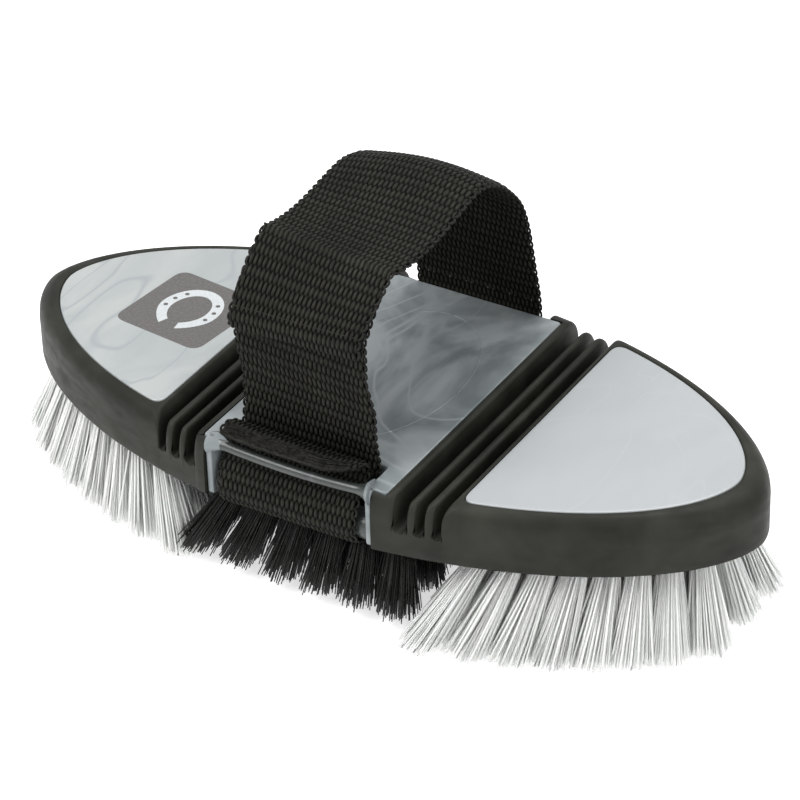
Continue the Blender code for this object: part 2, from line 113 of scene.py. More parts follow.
# Bellows
BELLOWS_START = CENTRE_HALF_LENGTH + GAP
TONGUE_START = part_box("right_bellows")[0].x
SHOULDER_DEPTH = 7 * MM
FRONT_SHOULDER = 3 * MM
REAR_SHOULDER = 6 * MM
GROOVE_FLOOR = 30.1 * MM
GROOVES = [(30.2 * MM, 1.75 * MM), (35.1 * MM, 1.2 * MM), (39.6 * MM, 1.1 * MM)]
RIB_ROUND = 0.95 * MM
RIB_DROP = 1.2 * MM
WEB_RECESS = 3 * MM

# Tufts
TUFT_PITCH = 9.3 * MM
TUFT_RADIUS = 2.35 * MM
TUFT_DEPTH = 6.7 * MM
HOLE_RADIUS = 2.55 * MM
WING_ROWS = 8
WING_ROW_FIRST = 47.6 * MM
WING_ROW_STEP = 7.55 * MM
WING_ROW_TAPER = 0.17 * MM
WING_TUFT_INSET = 4.6 * MM
WING_LEAN_INNER = -11 * MM
WING_LEAN_OUTER = 6.5 * MM
CENTRE_ROWS = 6
CENTRE_ROW_STEP = 8.8 * MM
TUFT_REACH = 31.2 * MM
FILAMENTS = 190
WHITE_RADIUS = 0.27 * MM
BLACK_RADIUS = 0.17 * MM
WHITE_LEAN = 9 * MM
WHITE_FRONT_LEAN = 14 * MM
BLACK_LEAN = 6 * MM
BLACK_FRONT_LEAN = 12 * MM

# Tuft shapes as (height of the tips, flare, stray sideways, unevenness of the tips)
WHITE_SHAPE = (BRISTLE_TIPS, 2.5, 0.16 * MM, 1.2 * MM)
BLACK_SHAPE = (BLACK_TIPS, 2.5, 0.5 * MM, 1.5 * MM)

# Webbing strap, as (y, z) points along the middle of its thickness, as in the CAD
WEBBING = 1.3 * MM
STRAP_ARCH = [
    (-40.3, 73.8), (-40.0, 76.4), (-38.0, 79.6), (-35.2, 83.0), (-32.0, 86.4), (-28.8, 89.2),
    (-25.6, 89.8), (-19.0, 88.8), (-11.5, 88.5), (-3.8, 89.1), (3.8, 90.0), (11.0, 90.5),
    (17.0, 89.3), (23.0, 86.6), (28.6, 82.3), (33.2, 76.8), (36.4, 69.0), (38.4, 60.6),
    (40.2, 52.4), (41.6, 46.4), (42.2, 42.3),
]
STRAP_REAR = [(42.3, 41.5), (42.2, 38.0), (42.1, 35.0), (43.4, 32.3), (45.6, 30.0)]
STRAP_REAR_END = [(37.6, 28.6), (38.3, 31.2), (39.5, 33.6), (40.4, 35.2)]
TAB_FRONT = [
    (-37.3, 28.4), (-36.9, 34.0), (-36.8, 42.0), (-36.9, 52.0), (-36.9, 62.0), (-36.7, 70.0),
]
TAB_TAIL = [
    (-46.6, 29.4), (-45.5, 32.2), (-43.3, 35.2), (-41.0, 38.4), (-40.1, 41.0), (-40.8, 42.8),
    (-42.7, 43.4), (-45.0, 43.0), (-46.9, 42.0),
]
LOOP_RADIUS = ANCHOR_RADIUS + GAP + WEBBING / 2
HEM_LENGTH = 6.5 * MM
HEM_GAP = WEBBING + GAP
PATCH_THICKNESS = 0.5 * MM
PATCH_HALF_WIDTH = 18 * MM
STRAP_PATCH_OFFSET = WEBBING / 2 + GAP + PATCH_THICKNESS / 2
TAB_PATCH_OFFSET = STRAP_PATCH_OFFSET + PATCH_THICKNESS + GAP
TAB_OFFSET = TAB_PATCH_OFFSET + PATCH_THICKNESS / 2 + GAP + WEBBING / 2
TAB_OVERLAP = (2.5 * MM, 17 * MM)
PATCH_OVERLAP = (7.5 * MM, 16 * MM)

# Weave
WEAVE_COLUMNS = 28
WEAVE_PER_COLUMN = 5
WEAVE_ROW = 2.4 * MM
WEAVE_PER_ROW = 7
WEAVE_RELIEF = 0.55 * MM
GRAIN_LENGTH = 1.28
WOVEN_HALF_WIDTH = STRAP_HALF_WIDTH - 0.8 * MM
SELVEDGE_RADIUS = 0.34 * MM
CUT_FIBRE_RADIUS = 0.075 * MM

# Wear of the webbing and the front bay
CREASE = (-26.4 * MM, 90.9 * MM)
CREASE_RISE = 0.9 * MM
CREASE_WIDTH = 0.8 * MM
CROWN_RISE = 3.6 * MM
CROWN_CURVE = 6.2
CROWN_MIDDLE = 3 * MM
WAVE_RISE = 0.35 * MM
TAB_SHIFT = 2.2 * MM
ROLL_SHIFT = 1.3 * MM
BAY_PULL = 2.3 * MM
HEM_SKEW = 0.11
HEM_DROP = 1.7 * MM
HEM_SHIFT = 2 * MM
REAR_PINCH = 0.075
CURL_START = 9 * MM
CURL_LENGTH = 8 * MM
CURL_RISE = 2.4 * MM

# (start, length) spans over which that wear sets in, along +X, Y or Z or against it
PULL_LEFT, PULL_RIGHT = (-28.3 * MM, 2.8 * MM), (8 * MM, 10 * MM)
PULL_FRONT, PULL_LOW = (BAY_EDGE, 3 * MM), (1.6 * MM - PLATE_TOP, 2.5 * MM)
TWIST_FRONT, TWIST_LOW, TWIST_HIGH = (-5 * MM, 30 * MM), (41 * MM, 7 * MM), (58 * MM, 28 * MM)
CURL_ACROSS = (CURL_START, STRAP_HALF_WIDTH - CURL_START)
ROLL_LOW, ROLL_OUTER, ROLL_FRONT = (-38 * MM, 3 * MM), (39 * MM, 2 * MM), (36 * MM, 3 * MM)
TAB_UPPER = (56 * MM, 8 * MM)
HEM_BELOW, HEM_FRONT = (-88 * MM, 10 * MM), (0, 20 * MM)
PINCH_BELOW, PINCH_REAR = (-75 * MM, 30 * MM), (0, 30 * MM)

# Camera: azimuth, elevation and roll in degrees, then where it looks and from how far
CAMERA_ANGLES = (31.907, 33.766, -1.733)
CAMERA_TARGET = Vector((8.41 * MM, -9.27 * MM, PLATE_TOP))
CAMERA_DISTANCE = 0.9478
CAMERA_LENS = 171.7
LIGHT_AIM = Vector((0, 0, 0.04))


# Materials

class Look:
    """A material with its shader, and shorthands for the nodes used here."""

    def __init__(self, name, colour, roughness, metallic=0.0, **sockets):
        self.material = bpy.data.materials.new(name)
        self.material.use_nodes = True
        self.tree = self.material.node_tree
        self.inputs = self.tree.nodes["Principled BSDF"].inputs
        self.feed("Base Color", (*colour, 1.0))
        self.feed("Roughness", roughness)
        self.feed("Metallic", metallic)
        for label, value in sockets.items():
            self.feed(label.replace("_", " "), value)

    def put(self, target, value):
        """Link an input to a socket, or set it to a value."""
        if isinstance(value, bpy.types.NodeSocket):
            self.tree.links.new(value, target)
        else:
            target.default_value = value

    def feed(self, label, value):
        self.put(self.inputs[label], value)

    def node(self, kind, **inputs):
        node = self.tree.nodes.new("ShaderNode" + kind)
        for label, value in inputs.items():
            self.put(node.inputs[label], value)
        return node

    def noise(self, scale, detail=3.0, distortion=0.0, stretch=(1.0, 1.0, 1.0), turn=0.0, kind="Object"):
        """Noise by place, which is stretched and turned first."""
        place = self.node("TexCoord").outputs[kind]
        place = self.node("Mapping", Vector=place, Scale=stretch, Rotation=(0, 0, turn)).outputs["Vector"]
        texture = self.node("TexNoise", Vector=place, Scale=scale, Detail=detail, Distortion=distortion)
        return texture.outputs["Fac"]

    def ramp(self, factor, *stops):
        """Colour ramp through (position, colour or grey) stops."""
        node = self.node("ValToRGB", Fac=factor)
        elements = node.color_ramp.elements
        while len(elements) < len(stops):
            elements.new(0.5)
        for element, (position, colour) in zip(elements, stops):
            element.position = position
            element.color = (*colour, 1) if hasattr(colour, "__len__") else (colour, colour, colour, 1)
        return node.outputs["Color"]

    def mix(self, factor, first, second, blend="MIX"):
        node = self.node("Mix")
        node.data_type = "RGBA"
        node.blend_type = blend
        for value, socket in ((factor, "Factor_Float"), (first, "A_Color"), (second, "B_Color")):
            self.put(next(s for s in node.inputs if s.identifier == socket), value)
        return next(s for s in node.outputs if s.identifier == "Result_Color")

    def bump(self, *layers):
        """Chain of bumps from (height, strength, distance) layers."""
        normal = None
        for height, strength, distance in layers:
            node = self.node("Bump", Height=height, Strength=strength, Distance=distance)
            if normal is not None:
                self.put(node.inputs["Normal"], normal)
            normal = node.outputs["Normal"]
        self.feed("Normal", normal)


def pearl_plastic(name, pale, dark, veins, gloss=0.3):
    """Moulded silver plastic with the slow swirls and thin flow lines of its pigment."""
    look = Look(name, pale, 0.34, 0.1, Specular_IOR_Level=gloss)
    cloud = look.ramp(look.noise(34, 3, 2.6, (1.0, 0.6, 1.0), 0.5), (0.32, dark), (0.62, pale))
    flow = look.noise(26, 2, 1.2, (1.0, 0.45, 1.0), -0.35)
    line = look.ramp(flow, (0.488, 0.0), (0.5, 1.0), (0.512, 0.0))
    look.feed("Base Color", look.mix(line, cloud, (*veins, 1)))
    look.feed("Roughness", look.ramp(look.noise(420, 4), (0.3, 0.30), (0.7, 0.40)))
    look.bump((look.noise(60, 1), 0.10, 0.3 * MM))
    return look.material


def soft_rubber():
    look = Look("soft_rubber", (0.017, 0.0175, 0.014), 0.6, Specular_IOR_Level=0.16)
    dark, light = (0.009, 0.0095, 0.007), (0.024, 0.025, 0.019)
    look.feed("Base Color", look.ramp(look.noise(70, 5, 0.4), (0.3, dark), (0.72, light)))
    smear = look.noise(160, 4, 0.0, (1.0, 1.0, 3.0))
    look.feed("Roughness", look.ramp(smear, (0.3, 0.44), (0.7, 0.62)))
    look.bump((look.noise(240), 0.10, 0.3 * MM), (look.noise(2400), 0.16, 0.08 * MM))
    return look.material


def nylon_yarn(name, dark, light):
    """Twisted black nylon: fine fibres run aslant along the yarns, read from the weave's UV map."""
    look = Look(name, light, 0.55, Specular_IOR_Level=0.05)
    crest = look.node("Attribute")
    crest.attribute_name = "crest"
    fibres = look.noise(1.0, stretch=(5200, 700, 1), turn=0.35, kind="UV")
    patches = look.noise(1.0, 4, stretch=(60, 40, 1), kind="UV")
    colour = look.ramp(fibres, (0.3, dark), (0.72, light))
    tone = look.ramp(patches, (0.3, 0.75), (0.7, 1.25))
    # Painted shade: the base colour falls almost to black in the valleys between the yarns
    shade_in_gaps = look.ramp(crest.outputs["Fac"], (0.5, 0.03), (0.95, 1.0))
    toned = look.mix(1.0, colour, tone, "MULTIPLY")
    look.feed("Base Color", look.mix(1.0, toned, shade_in_gaps, "MULTIPLY"))
    look.feed("Roughness", look.ramp(fibres, (0.3, 0.66), (0.7, 0.46)))
    look.bump((fibres, 0.5, 0.07 * MM))
    return look.material


def loose_fibre(name, dark, light, roughness):
    """Fine threads and pile."""
    look = Look(name, light, roughness, Specular_IOR_Level=0.12)
    look.feed("Base Color", look.ramp(look.noise(900), (0.3, dark), (0.7, light)))
    look.bump((look.noise(5200, 2), 0.4, 0.06 * MM))
    return look.material


def filament(name, dark, light, roughness, **sockets):
    """Bristle filaments, streaked lighter and darker along their length."""
    look = Look(name, light, roughness, **sockets)
    streak = look.noise(1500, 2, 0.0, (1.0, 1.0, 0.06))
    look.feed("Base Color", look.ramp(streak, (0.32, dark), (0.66, light)))
    scratch = look.noise(1900, 2)
    look.feed("Roughness", look.ramp(scratch, (0.3, roughness * 0.8), (0.7, roughness * 1.3)))
    return look.material


def printed_ink(name, colour, speckle):
    look = Look(name, colour, 0.42)
    look.feed("Base Color", look.ramp(look.noise(1400, 4), (0.35, colour), (0.75, speckle)))
    look.bump((look.noise(900), 0.08, 0.05 * MM))
    return look.material


def floor_paper():
    look = Look("floor_paper", (0.92, 0.92, 0.92), 0.9, Emission_Color=(1, 1, 1, 1), Emission_Strength=0.62)
    look.feed("Base Color", look.ramp(look.noise(3, 2), (0.3, 0.60), (0.7, 0.63)))
    return look.material


SILVER_RIGHT = pearl_plastic(
    "pearl_right", (0.335, 0.350, 0.357), (0.322, 0.338, 0.345), (0.340, 0.356, 0.364))
SILVER_LEFT = pearl_plastic(
    "pearl_left", (0.350, 0.366, 0.362), (0.300, 0.318, 0.322), (0.270, 0.290, 0.300))
# Painted shade: the middle plate is the same silver plastic as the wings, given a darker colour for the
# strap's shadow and its dark reflection
SHADED_SILVER_CENTRE = pearl_plastic(
    "pearl_centre_painted_shade", (0.255, 0.278, 0.285), (0.130, 0.150, 0.156), (0.25, 0.272, 0.28))
# Painted shade: the bay's bars and cheeks and the rear faces are the same plastic as the middle plate,
# given a much darker colour for the shade they sit in
SHADED_SILVER_BAY = pearl_plastic(
    "pearl_bay_painted_shade", (0.036, 0.043, 0.041), (0.024, 0.030, 0.028), (0.05, 0.057, 0.057), 0.65)
RUBBER = soft_rubber()
YARN = nylon_yarn("nylon_yarn", (0.009, 0.009, 0.0072), (0.036, 0.036, 0.029))
THREAD = loose_fibre("sewing_thread", (0.005, 0.005, 0.004), (0.020, 0.020, 0.017), 0.6)
CUT_FIBRE = loose_fibre("cut_fibre", (0.002, 0.002, 0.002), (0.030, 0.029, 0.024), 0.4)
SEAM_THREAD = loose_fibre("seam_thread", (0.05, 0.045, 0.036), (0.17, 0.15, 0.12), 0.6)
PILE = loose_fibre("hook_pile", (0.006, 0.006, 0.006), (0.022, 0.022, 0.021), 0.85)
WHITE = filament("white_filament", (0.76, 0.785, 0.75), (0.84, 0.86, 0.83), 0.5, Subsurface_Weight=0.8,
        Subsurface_Scale=3 * MM, Subsurface_Radius=(1.0, 1.0, 1.0))
BLACK = filament(
    "black_filament", (0.0015, 0.0015, 0.0013), (0.016, 0.0155, 0.0125), 0.3, Specular_IOR_Level=0.3)
INK = printed_ink("badge_ink", (0.075, 0.070, 0.067), (0.11, 0.105, 0.10))
PALE_INK = printed_ink("badge_pale_ink", (0.46, 0.48, 0.49), (0.38, 0.40, 0.41))


# Mesh helpers

def in_scene(name, data):
    obj = bpy.data.objects.new(name, data)
    bpy.context.scene.collection.objects.link(obj)
    return obj


def link(name, mesh, material):
    mesh.name = name
    obj = in_scene(name, mesh)
    mesh.materials.append(material)
    return obj


def shade(obj, sharp_angle=38):
    obj.data.shade_smooth()
    obj.data.set_sharp_from_angle(angle=math.radians(sharp_angle))


def bm_object(name, bm, material):
    bmesh.ops.recalc_face_normals(bm, faces=bm.faces)
    mesh = bpy.data.meshes.new(name)
    bm.to_mesh(mesh)
    bm.free()
    return link(name, mesh, material)


def combined(obj, tools, operation):
    """Apply Booleans with the tool objects, and remove the tools."""
    for tool in tools:
        modifier = obj.modifiers.new(tool.name, "BOOLEAN")
        modifier.operation = operation
        modifier.solver = "EXACT"
        modifier.object = tool
    graph = bpy.context.evaluated_depsgraph_get()
    mesh = bpy.data.meshes.new_from_object(obj.evaluated_get(graph))
    obj.modifiers.clear()
    obj.data = mesh
    for tool in tools:
        bpy.data.objects.remove(tool)


def add_loft(bm, rings, hollow=False):
    """Faces between rings of points, closed at both ends, or back to the first ring when hollow."""
    loops = [[bm.verts.new(point) for point in ring] for ring in rings]
    for low, high in zip(loops, loops[1:] + (loops[:1] if hollow else [])):
        for i in range(len(low)):
            j = (i + 1) % len(low)
            bm.faces.new((low[i], low[j], high[j], high[i]))
    if not hollow:
        bm.faces.new(loops[0][::-1])
        bm.faces.new(loops[-1])


def loft_object(name, lofts, material, hollow=False):
    bm = bmesh.new()
    for rings in lofts:
        add_loft(bm, rings, hollow)
    return bm_object(name, bm, material)


def circle(u, v, radius):
    """Twelve points round (u, v)."""
    angles = [k * math.pi / 6 for k in range(12)]
    return [(u + radius * math.cos(a), v + radius * math.sin(a)) for a in angles]


def box_tool(low, high):
    (x, y, z), (u, v, w) = low, high
    corners = [(x, y), (u, y), (u, v), (x, v)]
    return loft_object("tool", [[[(*corner, level) for corner in corners] for level in (z, w)]], RUBBER)


def inset_outline(points, distance):
    """Closed (u, v) outline moved inward, for an outline that runs counter-clockwise."""
    moved = []
    for i, point in enumerate(points):
        before = (point - points[i - 1]).normalized()
        after = (points[(i + 1) % len(points)] - point).normalized()
        normal = Vector((-before.y - after.y, before.x + after.x)).normalized()
        reach = max(0.5, normal.dot(Vector((-before.y, before.x))))
        moved.append(point + normal * distance / reach)
    return moved


def quarter_turn(steps):
    return [math.pi / 2 * k / steps for k in range(steps + 1)]


def bent(start, corner, end, t):
    """Point at t on the curve from start to end that heads for the corner."""
    return start * (1 - t) ** 2 + corner * 2 * t * (1 - t) + end * t * t


def rounded(corners, radius, steps=5):
    """Outline through the corners, each rounded by radius."""
    points = []
    corners = [Vector(corner) for corner in corners]
    for before, corner, after in zip(corners[-1:] + corners, corners, corners[1:] + corners[:1]):
        start = corner + (before - corner).normalized() * radius
        end = corner + (after - corner).normalized() * radius
        points += [bent(start, corner, end, k / steps) for k in range(steps + 1)]
    return points


def slab(name, outline, low, high, edge, material, place=lambda u, v, h: (u, v, h)):
    """Slab with rounded rims; place(u, v, height) gives a 3-D point."""
    rings = []
    for end, sign in ((low, 1), (high, -1)):
        part = []
        for angle in quarter_turn(4):
            inset = edge * (1 - math.sin(angle))
            level = end + sign * edge * (1 - math.cos(angle))
            part.append([place(p.x, p.y, level) for p in inset_outline(outline, inset)])
        part.insert(0, [place(p.x, p.y, end) for p in inset_outline(outline, 1.4 * edge)])
        rings += part if sign > 0 else part[::-1]
    return loft_object(name, [rings], material)


def tube_mesh(lines, radii, sides):
    """One mesh of closed tubes. lines is (tubes, rings, 3); radii is (tubes, rings) or one number."""
    lines = np.asarray(lines, float)
    radii = np.broadcast_to(np.asarray(radii, float), lines.shape[:2])
    tubes, rings, _ = lines.shape
    along = np.gradient(lines, axis=1)
    along /= np.linalg.norm(along, axis=2, keepdims=True) + 1e-12
    guide = np.where(np.abs(along[:, :1, 0:1]) < 0.8, [[[1.0, 0, 0]]], [[[0, 1.0, 0]]])
    across = np.cross(along, np.broadcast_to(guide, along.shape))
    across /= np.linalg.norm(across, axis=2, keepdims=True) + 1e-12
    other = np.cross(along, across)
    turn = 2 * np.pi * np.arange(sides) / sides
    points = (lines[:, :, None, :]
            + radii[:, :, None, None] * (np.cos(turn)[None, None, :, None] * across[:, :, None, :]
            + np.sin(turn)[None, None, :, None] * other[:, :, None, :]))
    index = np.arange(tubes * rings * sides).reshape(tubes, rings, sides)
    after = np.roll(index, -1, axis=2)
    quads = np.stack([index[:, :-1], after[:, :-1], after[:, 1:], index[:, 1:]], axis=-1).reshape(-1, 4)
    caps = np.concatenate([index[:, 0, ::-1], index[:, -1, :]])
    mesh = bpy.data.meshes.new("tubes")
    mesh.from_pydata(points.reshape(-1, 3).tolist(), [], quads.tolist() + caps.tolist())
    mesh.shade_smooth()
    return mesh


# Outlines

def oval_half_width(oval, x):
    length, width, power_x, power_y = oval
    return width * max(0.0, 1 - (abs(x) / length) ** power_x) ** (1 / power_y)


def grown(oval, margin):
    return (oval[0] + margin, oval[1] + margin, oval[2], oval[3])


def wing_outline(oval, start_x, corner):
    """Closed outline of the oval beyond start_x, its two corners rounded, counter-clockwise."""
    length, width, power_x, power_y = oval

    def on_oval(angle):
        return Vector((length * math.cos(angle) ** (2 / power_x),
                math.copysign(width * abs(math.sin(angle)) ** (2 / power_y), angle)))

    first = math.acos((start_x / length) ** (power_x / 2))
    corner_end = first
    while (on_oval(corner_end) - on_oval(first)).length < 1.05 * corner + 0.3 * MM:
        corner_end -= 0.002
    curve = [on_oval(corner_end * (2 * i / ARC_STEPS - 1)) for i in range(ARC_STEPS + 1)]
    half = oval_half_width(oval, start_x)
    points = []
    for side in (-1, 1):
        tip = Vector((start_x, side * half))
        away = (curve[0] if side < 0 else curve[-1]) - tip
        reach = min(corner, 0.9 * away.length)
        ends = [tip + Vector((0, -side * corner)), tip + away.normalized() * reach][::-side]
        points += [bent(ends[0], tip, ends[1], k / 8) for k in range(9)]
        if side < 0:
            points.extend(curve)
    first_y, last_y = points[-1].y, points[0].y
    for k in range(1, SIDE_STEPS):
        points.append(Vector((start_x, first_y + (last_y - first_y) * k / SIDE_STEPS)))
    return points


def smooth_path(points, step=1 * MM):
    """Points every step or so along a smooth curve through the given points."""
    points = [Vector(p) for p in points]
    padded = [2 * points[0] - points[1]] + points + [2 * points[-1] - points[-2]]
    path = []
    for i in range(1, len(padded) - 2):
        before, start, end, after = padded[i - 1:i + 3]
        count = max(1, round((end - start).length / step))
        for k in range(count):
            t = k / count
            path.append(0.5 * (2 * start + (end - before) * t
                    + (2 * before - 5 * start + 4 * end - after) * t * t
                    + (3 * start - before - 3 * end + after) * t ** 3))
    path.append(points[-1])
    return path


def offset_path(path, distance):
    """The path moved to its left by distance."""
    moved = []
    for i, point in enumerate(path):
        before, after = path[max(0, i - 1)], path[min(len(path) - 1, i + 1)]
        along = (after - before).normalized()
        moved.append(point + Vector((-along.y, along.x)) * distance)
    return moved


def path_part(path, start, end):
    part, travelled = [], 0.0
    for a, b in zip(path, path[1:]):
        span = (b - a).length
        for mark in (start, end):
            if travelled <= mark < travelled + span:
                part.append(a + (b - a) * (mark - travelled) / span)
        travelled += span
        if start < travelled < end - 0.2 * MM:
            part.append(b)
    return part


def arc_path(centre, radius, start_deg, end_deg, steps=24):
    angles = [math.radians(start_deg + (end_deg - start_deg) * k / steps) for k in range(steps + 1)]
    return [Vector((centre[0] + radius * math.cos(a), centre[1] + radius * math.sin(a))) for a in angles]


def in_metres(points):
    return [(y * MM, z * MM) for y, z in points]


def fade(value, span):
    """0 up to the start of a (start, length) span, rising to 1 at its end."""
    return np.clip((value - span[0]) / span[1], 0, 1)


# Plastic sections

def tuft_roots(reach):
    count = max(2, round(2 * reach / TUFT_PITCH) + 1)
    return [reach * (2 * k / (count - 1) - 1) for k in range(count)]


def wing_rows():
    """Each row's (x, tip x, root y values), on the +X wing."""
    xs = [WING_ROW_FIRST + WING_ROW_STEP * k - WING_ROW_TAPER * k * k for k in range(WING_ROWS)]
    rows = []
    for x in xs:
        share = (x - xs[0]) / (xs[-1] - xs[0])
        lean = WING_LEAN_INNER + (WING_LEAN_OUTER - WING_LEAN_INNER) * share ** 0.8
        rows.append((x, x + lean, tuft_roots(oval_half_width(PLATE_OVAL, x) - WING_TUFT_INSET)))
    return rows


def centre_row_xs():
    return [(k - (CENTRE_ROWS - 1) / 2) * CENTRE_ROW_STEP for k in range(CENTRE_ROWS)]


def hole_tool(places):
    levels = (CORE_LOW - 5 * MM, CORE_LOW + TUFT_DEPTH + GAP)
    return loft_object("tool", [[[(u, v, z) for u, v in circle(x, y, HOLE_RADIUS)] for z in levels]
            for x, y in places], RUBBER)


def wing_core(label, side, material):
    plate = wing_outline(PLATE_OVAL, WING_START, PLATE_CORNER)
    base = wing_outline(grown(PLATE_OVAL, CORE_LEDGE), WING_START, PLATE_CORNER)
    ledge = PLATE_TOP - PLATE_THICKNESS
    levels = [(inset_outline(base, 1 * MM), CORE_LOW), (base, CORE_LOW + 0.3 * MM), (base, ledge),
            (plate, ledge + CORE_LEDGE / 2)]
    for angle in quarter_turn(4):
        inset = PLATE_EDGE * (1 - math.cos(angle))
        levels.append((inset_outline(plate, inset), PLATE_TOP - PLATE_EDGE * (1 - math.sin(angle))))
    levels.append((inset_outline(plate, 3 * PLATE_EDGE), PLATE_TOP))
    rings = [[(side * p.x, p.y, z) for p in outline] for outline, z in levels]
    obj = loft_object(label + "_wing_plate", [rings], material)
    places = [(side * x, y) for x, _, roots in wing_rows() for y in roots]
    combined(obj, [hole_tool(places)], "DIFFERENCE")
    shade(obj)
    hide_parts(label + "_wing_core")
    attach(obj, label + "_wing")


def keeper_bar(wall, height):
    shares = [2 * k / 40 - 1 for k in range(41)]
    line = [(t * BAR_REACH, wall * (KEEPER_END_WIDTH + KEEPER_BOW * (1 - t * t)), height) for t in shares]
    flare = KEEPER_FLARE if wall < 0 else KEEPER_FLARE / 4
    radii = [KEEPER_RADIUS + flare * max(0.0, (abs(t) - 0.8) / 0.2) ** 2 for t in shares]
    return link("tool", tube_mesh([line], [radii], 20), RUBBER)


def anchor_bar(wall):
    line = [(x, wall * ANCHOR_WIDTH, ANCHOR_HEIGHT) for x in (-BAR_REACH, 0, BAR_REACH)]
    return link("tool", tube_mesh([line], ANCHOR_RADIUS, 28), RUBBER)


def centre_plan(half_width, rear_bay):
    """Plan of the middle section, counter-clockwise, with its front bay and maybe its rear one."""
    x, bay = CENTRE_HALF_LENGTH, BAY_HALF_LENGTH
    corners = [(-x, -half_width), (-bay, -half_width), (-bay, -BAY_EDGE), (bay, -BAY_EDGE),
            (bay, -half_width), (x, -half_width), (x, REAR_EDGE)]
    if rear_bay:
        corners += [(bay, REAR_EDGE), (bay, BAY_EDGE), (-bay, BAY_EDGE), (-bay, REAR_EDGE)]
    return rounded(corners + [(-x, REAR_EDGE)], 1.2 * MM)


def cheek(wall, side):
    """One end wall of a strap bay; the rear ones slope down behind the plate."""
    near, far = BASE_HALF_WIDTH - 4 * MM, CHEEK_HALF_WIDTH
    high = PLATE_TOP - CHEEK_DROP
    corners = [(near, CHEEK_LOW), (far, CHEEK_LOW), (far, high), (near, high)]
    if wall > 0:
        corners = corners[:2] + [REAR_CHEEK_TOP[1], REAR_CHEEK_TOP[0], (near, REAR_CHEEK_TOP[0][1])]
    inner, outer = sorted((side * BAY_HALF_LENGTH, side * (BAY_HALF_LENGTH + CHEEK_THICKNESS)))
    return slab("tool", rounded(corners, 1.1 * MM), inner, outer, 0.35 * MM, RUBBER,
            lambda u, v, h: (h, wall * u, v))


def pull_left_cheek(obj):
    """Move the left end of the front bay outwards, as the stretched rubber does."""
    for vertex in obj.data.vertices:
        x, y, z = vertex.co
        pull = BAY_PULL * fade(x, PULL_LEFT) * fade(-x, PULL_RIGHT) * fade(-y, PULL_FRONT)
        before_lip = y < -LIP_HALF_WIDTH - 0.15 * MM
        vertex.co.x = x - pull * (1.0 if before_lip else fade(-z, PULL_LOW))


def centre_section():
    obj = slab("centre_plate", centre_plan(LIP_HALF_WIDTH, False), PLATE_TOP - LIP_THICKNESS, PLATE_TOP,
            PLATE_EDGE, SHADED_SILVER_CENTRE)
    base = centre_plan(BASE_HALF_WIDTH, True)
    tools = [slab("tool", base, CORE_LOW, PLATE_TOP - 1 * MM, 0.3 * MM, RUBBER)]
    for wall, height in ((-1, KEEPER_HEIGHT), (1, REAR_KEEPER_HEIGHT)):
        tools += [cheek(wall, side) for side in (-1, 1)]
        tools += [keeper_bar(wall, height), anchor_bar(wall)]
    combined(obj, tools, "UNION")
    places = [(x, y) for x in centre_row_xs() for y in tuft_roots(TUFT_REACH)]
    combined(obj, [hole_tool(places)], "DIFFERENCE")
    pull_left_cheek(obj)
    obj.data.materials.clear()
    obj.data.materials.append(SHADED_SILVER_CENTRE)
    obj.data.materials.append(SHADED_SILVER_BAY)
    # Painted shade: faces inside the front bay and behind the rear edge take the darker copy of the plastic
    for face in obj.data.polygons:
        in_shaded_bay = abs(face.center.x) < BAY_HALF_LENGTH + 0.1 * MM and face.center.y < -BAY_EDGE - 0.2 * MM
        face.material_index = 1 if in_shaded_bay or face.center.y > REAR_EDGE + 0.2 * MM else 0
    shade(obj)
    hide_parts("centre_body")
    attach(obj, "centre")


def oval_line():
    """Thin raised oval line on the middle plate."""
    turns = np.linspace(0, 2 * np.pi, 145)
    line = np.stack([OVAL_LINE[0] * np.cos(turns), OVAL_LINE[1] * np.sin(turns),
            np.full_like(turns, PLATE_TOP - 0.08 * MM)], axis=1)
    obj = link("plate_oval_line", tube_mesh([line], 0.2 * MM, 10), SHADED_SILVER_CENTRE)
    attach(obj, "centre")


# Rubber

def wing_rim(label, side):
    plate = wing_outline(grown(PLATE_OVAL, GAP / 3), WING_START - GAP / 3, PLATE_CORNER)
    base = wing_outline(grown(PLATE_OVAL, CORE_LEDGE + GAP), WING_START - GAP, PLATE_CORNER)
    outer = wing_outline(OUTER_OVAL, RIM_START, RIM_CORNER)
    square = wing_outline(OUTER_OVAL, RIM_START, RIM_CORNER / 10)
    ledge = PLATE_TOP - PLATE_THICKNESS + GAP
    levels = [(base, 0.0, RUBBER_LOW), (base, 0.0, ledge), (plate, 0.0, ledge + CORE_LEDGE / 2)]
    top = smooth_path([(share, drop * MM * 100) for share, drop in RIM_TOP], 0.05)
    levels += [(plate, p.x, PLATE_TOP - p.y / 100) for p in top]
    levels += [(plate, 1.0, GROOVE_FLOOR + 0.1 * MM), (plate, 1.0, GROOVE_FLOOR - 0.1 * MM),
            (plate, 1.0, RUBBER_LOW + 3 * RIM_LOW_EDGE)]
    for angle in quarter_turn(4):
        share = 1 - 0.14 * (1 - math.cos(angle))
        levels.append((plate, share, RUBBER_LOW + RIM_LOW_EDGE * (1 - math.sin(angle))))
    rings = []
    for inner, share, z in levels:
        edge = square if z < GROOVE_FLOOR else outer
        ring = [a.lerp(b, share) for a, b in zip(inner, edge)]
        rings.append([(side * p.x, p.y, z) for p in ring])
    obj = loft_object(label + "_rubber_rim", [rings], RUBBER, hollow=True)
    shade(obj, 50)
    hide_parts(label + "_rim")
    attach(obj, label + "_wing")


